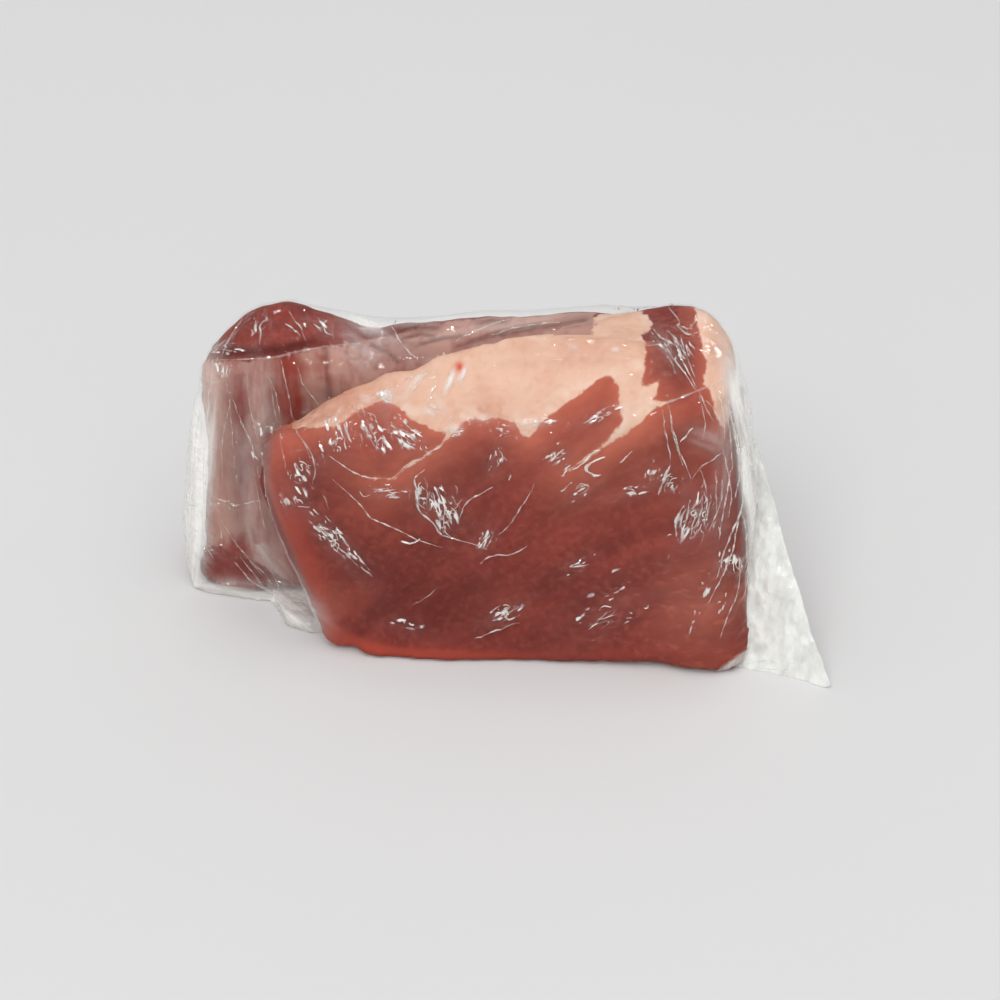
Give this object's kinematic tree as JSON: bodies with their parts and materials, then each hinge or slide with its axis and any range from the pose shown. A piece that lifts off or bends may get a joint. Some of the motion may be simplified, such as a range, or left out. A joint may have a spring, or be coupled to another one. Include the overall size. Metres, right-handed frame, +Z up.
{
  "type": "film-wrapped pork spare ribs",
  "caption": "Raw slab of pork spare ribs, folded in half and sealed in a clear film bag with a loose corner.",
  "frame": {"origin": "middle of the base of the pack's bounding box, on the surface it stands on", "axes": "+X along the pack's length, from the open ends of the folded slab to its bend and the loose film corner; -Y to the front; +Z up"},
  "size_m": [0.2944, 0.1184, 0.151],
  "materials": {
    "film_pack": "thin clear film drawn over raw meat, seen as one solid",
    "film": "thin clear wrinkled film, hazy where it lies double or off the meat",
    "meat": "moist raw pork: dark red lean, pale peach fat, pinkish grey skin of the bone side"
  },
  "bodies": {
    "root": {"film_pack": "film_pack"}
  },
  "joints": []
}
